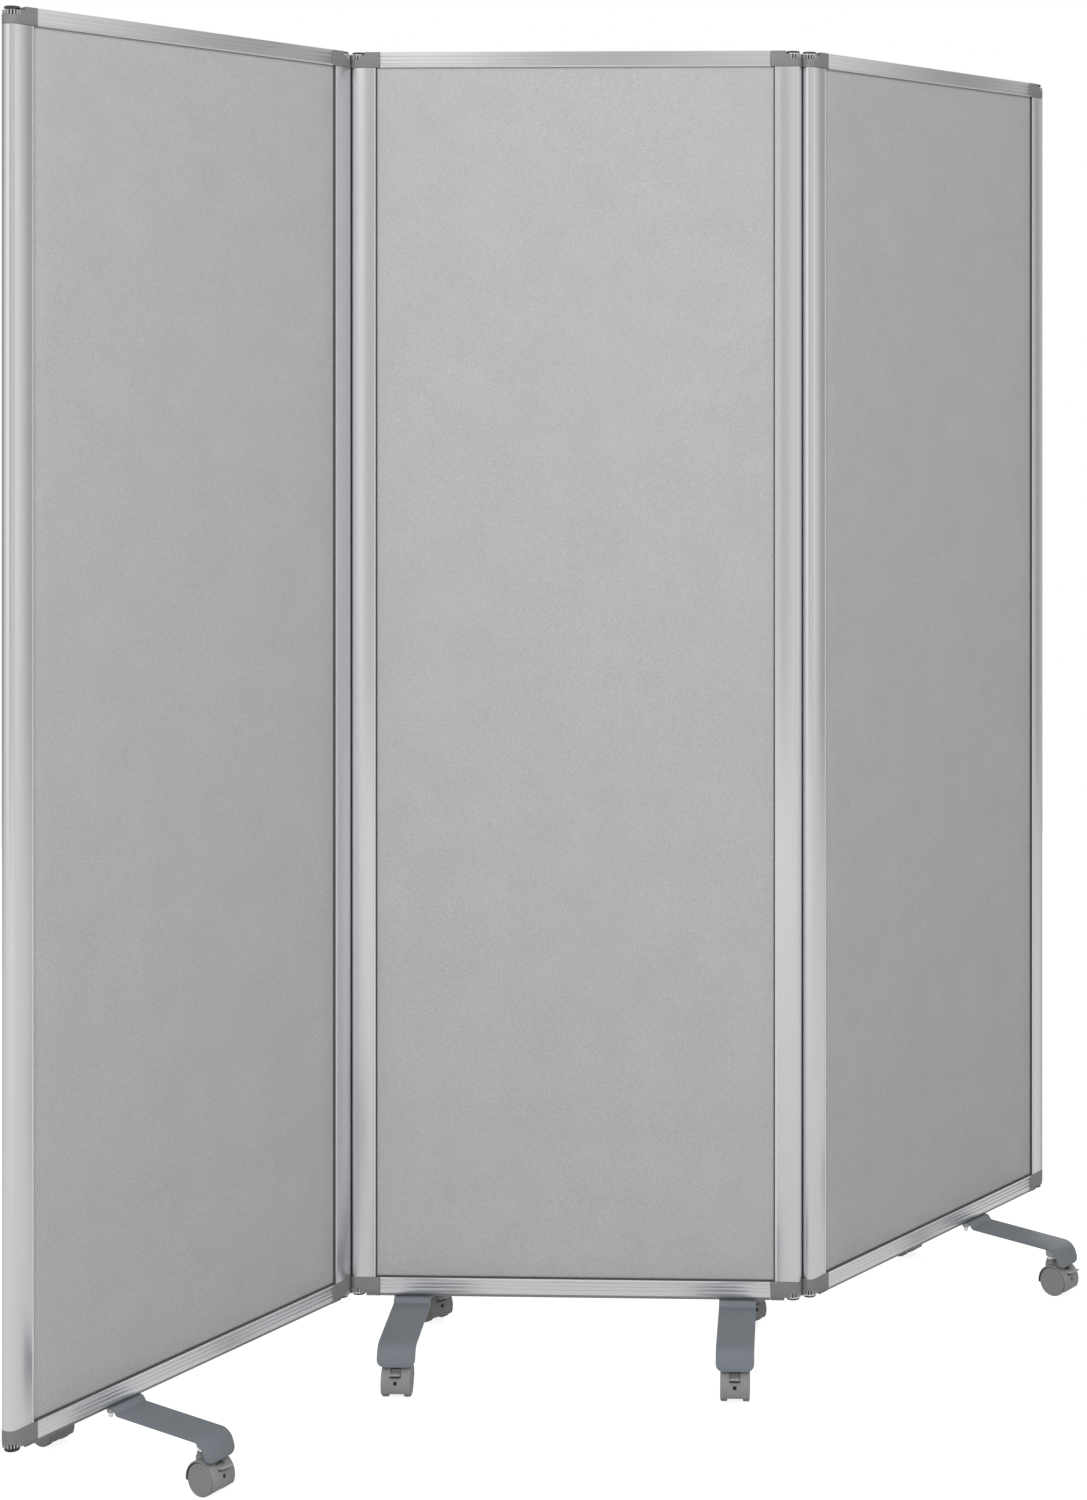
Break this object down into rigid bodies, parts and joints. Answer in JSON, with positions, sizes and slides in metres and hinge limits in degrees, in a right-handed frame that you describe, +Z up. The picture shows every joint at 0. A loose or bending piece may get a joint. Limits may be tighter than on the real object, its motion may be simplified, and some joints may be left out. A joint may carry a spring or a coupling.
{
  "type": "folding privacy screen",
  "caption": "Folding privacy screen of framed fabric boards joined by link hinges, on bent steel feet with braked swivel casters.",
  "frame": {"origin": "on the floor below the middle of the screen's bounding box", "axes": "+Z up, +X along the centre panel from the left panel to the right panel, -Y towards the front"},
  "size_m": [1.3848, 1.0308, 1.765],
  "materials": {
    "board_fabric": "fine matt weave",
    "frame_aluminium": "satin anodised",
    "corner_plastic": "moulded, matt grey",
    "link_steel": "zinc plated",
    "foot_paint": "satin blue-grey powder paint",
    "caster_plastic": "moulded, matt grey",
    "wheel_plastic": "moulded, matt grey",
    "lever_plastic": "moulded, matt grey"
  },
  "bodies": {
    "centre_panel": {"centre_board": "board_fabric", "centre_top_rail": "frame_aluminium", "centre_bottom_rail": "frame_aluminium", "centre_left_post": "frame_aluminium", "centre_left_bottom_corner": "corner_plastic", "centre_left_top_corner": "corner_plastic", "centre_right_post": "frame_aluminium", "centre_right_bottom_corner": "corner_plastic", "centre_right_top_corner": "corner_plastic", "centre_left_foot": "foot_paint", "centre_right_foot": "foot_paint"},
    "left_panel": {"left_board": "board_fabric", "left_top_rail": "frame_aluminium", "left_bottom_rail": "frame_aluminium", "left_outer_post": "frame_aluminium", "left_outer_bottom_corner": "corner_plastic", "left_outer_top_corner": "corner_plastic", "left_inner_post": "frame_aluminium", "left_inner_bottom_corner": "corner_plastic", "left_inner_top_corner": "corner_plastic", "left_foot": "foot_paint"},
    "right_panel": {"right_board": "board_fabric", "right_top_rail": "frame_aluminium", "right_bottom_rail": "frame_aluminium", "right_inner_post": "frame_aluminium", "right_inner_bottom_corner": "corner_plastic", "right_inner_top_corner": "corner_plastic", "right_outer_post": "frame_aluminium", "right_outer_bottom_corner": "corner_plastic", "right_outer_top_corner": "corner_plastic", "right_foot": "foot_paint"},
    "left_hinge": {"left_hinge_bottom_link": "link_steel", "left_hinge_top_link": "link_steel"},
    "right_hinge": {"right_hinge_bottom_link": "link_steel", "right_hinge_top_link": "link_steel"},
    "centre_left_foot_front_caster_swivel": {"centre_left_foot_front_caster_housing": "caster_plastic"},
    "centre_left_foot_front_caster_roller": {"centre_left_foot_front_caster_wheels": "wheel_plastic"},
    "centre_left_foot_front_caster_brake": {"centre_left_foot_front_caster_brake_lever": "lever_plastic"},
    "centre_left_foot_rear_caster_swivel": {"centre_left_foot_rear_caster_housing": "caster_plastic"},
    "centre_left_foot_rear_caster_roller": {"centre_left_foot_rear_caster_wheels": "wheel_plastic"},
    "centre_left_foot_rear_caster_brake": {"centre_left_foot_rear_caster_brake_lever": "lever_plastic"},
    "centre_right_foot_front_caster_swivel": {"centre_right_foot_front_caster_housing": "caster_plastic"},
    "centre_right_foot_front_caster_roller": {"centre_right_foot_front_caster_wheels": "wheel_plastic"},
    "centre_right_foot_front_caster_brake": {"centre_right_foot_front_caster_brake_lever": "lever_plastic"},
    "centre_right_foot_rear_caster_swivel": {"centre_right_foot_rear_caster_housing": "caster_plastic"},
    "centre_right_foot_rear_caster_roller": {"centre_right_foot_rear_caster_wheels": "wheel_plastic"},
    "centre_right_foot_rear_caster_brake": {"centre_right_foot_rear_caster_brake_lever": "lever_plastic"},
    "left_foot_front_caster_swivel": {"left_foot_front_caster_housing": "caster_plastic"},
    "left_foot_front_caster_roller": {"left_foot_front_caster_wheels": "wheel_plastic"},
    "left_foot_front_caster_brake": {"left_foot_front_caster_brake_lever": "lever_plastic"},
    "left_foot_rear_caster_swivel": {"left_foot_rear_caster_housing": "caster_plastic"},
    "left_foot_rear_caster_roller": {"left_foot_rear_caster_wheels": "wheel_plastic"},
    "left_foot_rear_caster_brake": {"left_foot_rear_caster_brake_lever": "lever_plastic"},
    "right_foot_front_caster_swivel": {"right_foot_front_caster_housing": "caster_plastic"},
    "right_foot_front_caster_roller": {"right_foot_front_caster_wheels": "wheel_plastic"},
    "right_foot_front_caster_brake": {"right_foot_front_caster_brake_lever": "lever_plastic"},
    "right_foot_rear_caster_swivel": {"right_foot_rear_caster_housing": "caster_plastic"},
    "right_foot_rear_caster_roller": {"right_foot_rear_caster_wheels": "wheel_plastic"},
    "right_foot_rear_caster_brake": {"right_foot_rear_caster_brake_lever": "lever_plastic"}
  },
  "joints": [
    {"name": "left_link_fold", "type": "hinge", "parent": "centre_panel", "child": "left_hinge", "pos_m": [-0.30885, 0.016, 0.085], "axis": [0, 0, 1], "range_deg": [-118.75, 59.25]},
    {"name": "left_panel_fold", "type": "hinge", "parent": "left_hinge", "child": "left_panel", "pos_m": [-0.33055, 0.00359, 0.085], "axis": [0, 0, 1], "range_deg": [-118.75, 59.25]},
    {"name": "right_link_fold", "type": "hinge", "parent": "centre_panel", "child": "right_hinge", "pos_m": [0.28015, 0.016, 0.085], "axis": [0, 0, 1], "range_deg": [-116, 62]},
    {"name": "right_panel_fold", "type": "hinge", "parent": "right_hinge", "child": "right_panel", "pos_m": [0.30243, 0.02735, 0.085], "axis": [0, 0, 1], "range_deg": [-116, 62]},
    {"name": "centre_left_foot_front_caster_turn", "type": "hinge", "parent": "centre_panel", "child": "centre_left_foot_front_caster_swivel", "pos_m": [-0.23435, -0.118, 0.06], "axis": [0, 0, 1], "continuous": true},
    {"name": "centre_left_foot_front_caster_roll", "type": "hinge", "parent": "centre_left_foot_front_caster_swivel", "child": "centre_left_foot_front_caster_roller", "pos_m": [-0.23435, -0.13, 0.02], "axis": [1, 0, 0], "continuous": true},
    {"name": "centre_left_foot_front_caster_press", "type": "hinge", "parent": "centre_left_foot_front_caster_swivel", "child": "centre_left_foot_front_caster_brake", "pos_m": [-0.23435, -0.136, 0.034], "axis": [1, 0, 0], "range_deg": [0, 10]},
    {"name": "centre_left_foot_rear_caster_turn", "type": "hinge", "parent": "centre_panel", "child": "centre_left_foot_rear_caster_swivel", "pos_m": [-0.23435, 0.15, 0.06], "axis": [0, 0, 1], "continuous": true},
    {"name": "centre_left_foot_rear_caster_roll", "type": "hinge", "parent": "centre_left_foot_rear_caster_swivel", "child": "centre_left_foot_rear_caster_roller", "pos_m": [-0.22586, 0.14151, 0.02], "axis": [0.7071, 0.7071, 0], "continuous": true},
    {"name": "centre_left_foot_rear_caster_press", "type": "hinge", "parent": "centre_left_foot_rear_caster_swivel", "child": "centre_left_foot_rear_caster_brake", "pos_m": [-0.22162, 0.13727, 0.034], "axis": [0.7071, 0.7071, 0], "range_deg": [0, 10]},
    {"name": "centre_right_foot_front_caster_turn", "type": "hinge", "parent": "centre_panel", "child": "centre_right_foot_front_caster_swivel", "pos_m": [0.20565, -0.118, 0.06], "axis": [0, 0, 1], "continuous": true},
    {"name": "centre_right_foot_front_caster_roll", "type": "hinge", "parent": "centre_right_foot_front_caster_swivel", "child": "centre_right_foot_front_caster_roller", "pos_m": [0.20565, -0.13, 0.02], "axis": [1, 0, 0], "continuous": true},
    {"name": "centre_right_foot_front_caster_press", "type": "hinge", "parent": "centre_right_foot_front_caster_swivel", "child": "centre_right_foot_front_caster_brake", "pos_m": [0.20565, -0.136, 0.034], "axis": [1, 0, 0], "range_deg": [0, 10]},
    {"name": "centre_right_foot_rear_caster_turn", "type": "hinge", "parent": "centre_panel", "child": "centre_right_foot_rear_caster_swivel", "pos_m": [0.20565, 0.15, 0.06], "axis": [0, 0, 1], "continuous": true},
    {"name": "centre_right_foot_rear_caster_roll", "type": "hinge", "parent": "centre_right_foot_rear_caster_swivel", "child": "centre_right_foot_rear_caster_roller", "pos_m": [0.21414, 0.14151, 0.02], "axis": [0.7071, 0.7071, 0], "continuous": true},
    {"name": "centre_right_foot_rear_caster_press", "type": "hinge", "parent": "centre_right_foot_rear_caster_swivel", "child": "centre_right_foot_rear_caster_brake", "pos_m": [0.21838, 0.13727, 0.034], "axis": [0.7071, 0.7071, 0], "range_deg": [0, 10]},
    {"name": "left_foot_front_caster_turn", "type": "hinge", "parent": "left_panel", "child": "left_foot_front_caster_swivel", "pos_m": [-0.4242, -0.41941, 0.06], "axis": [0, 0, 1], "continuous": true},
    {"name": "left_foot_front_caster_roll", "type": "hinge", "parent": "left_foot_front_caster_swivel", "child": "left_foot_front_caster_roller", "pos_m": [-0.41386, -0.4255, 0.02], "axis": [0.5075, 0.8616, 0], "continuous": true},
    {"name": "left_foot_front_caster_press", "type": "hinge", "parent": "left_foot_front_caster_swivel", "child": "left_foot_front_caster_brake", "pos_m": [-0.40869, -0.42855, 0.034], "axis": [0.5075, 0.8616, 0], "range_deg": [0, 10]},
    {"name": "left_foot_rear_caster_turn", "type": "hinge", "parent": "left_panel", "child": "left_foot_rear_caster_swivel", "pos_m": [-0.65512, -0.28339, 0.06], "axis": [0, 0, 1], "continuous": true},
    {"name": "left_foot_rear_caster_roll", "type": "hinge", "parent": "left_foot_rear_caster_swivel", "child": "left_foot_rear_caster_roller", "pos_m": [-0.64478, -0.28948, 0.02], "axis": [0.5075, 0.8616, 0], "continuous": true},
    {"name": "left_foot_rear_caster_press", "type": "hinge", "parent": "left_foot_rear_caster_swivel", "child": "left_foot_rear_caster_brake", "pos_m": [-0.63961, -0.29253, 0.034], "axis": [0.5075, 0.8616, 0], "range_deg": [0, 10]},
    {"name": "right_foot_front_caster_turn", "type": "hinge", "parent": "right_panel", "child": "right_foot_front_caster_swivel", "pos_m": [0.653, 0.2819, 0.06], "axis": [0, 0, 1], "continuous": true},
    {"name": "right_foot_front_caster_roll", "type": "hinge", "parent": "right_foot_front_caster_swivel", "child": "right_foot_front_caster_roller", "pos_m": [0.66271, 0.27484, 0.02], "axis": [0.5878, 0.809, 0], "continuous": true},
    {"name": "right_foot_front_caster_press", "type": "hinge", "parent": "right_foot_front_caster_swivel", "child": "right_foot_front_caster_brake", "pos_m": [0.66757, 0.27132, 0.034], "axis": [0.5878, 0.809, 0], "range_deg": [0, 10]},
    {"name": "right_foot_rear_caster_turn", "type": "hinge", "parent": "right_panel", "child": "right_foot_rear_caster_swivel", "pos_m": [0.43619, 0.43942, 0.06], "axis": [0, 0, 1], "continuous": true},
    {"name": "right_foot_rear_caster_roll", "type": "hinge", "parent": "right_foot_rear_caster_swivel", "child": "right_foot_rear_caster_roller", "pos_m": [0.4459, 0.43237, 0.02], "axis": [0.5878, 0.809, 0], "continuous": true},
    {"name": "right_foot_rear_caster_press", "type": "hinge", "parent": "right_foot_rear_caster_swivel", "child": "right_foot_rear_caster_brake", "pos_m": [0.45075, 0.42884, 0.034], "axis": [0.5878, 0.809, 0], "range_deg": [0, 10]}
  ],
  "couplings": [
    {"joint": "left_panel_fold", "follows": "left_link_fold", "ratio": 1},
    {"joint": "right_panel_fold", "follows": "right_link_fold", "ratio": 1}
  ]
}
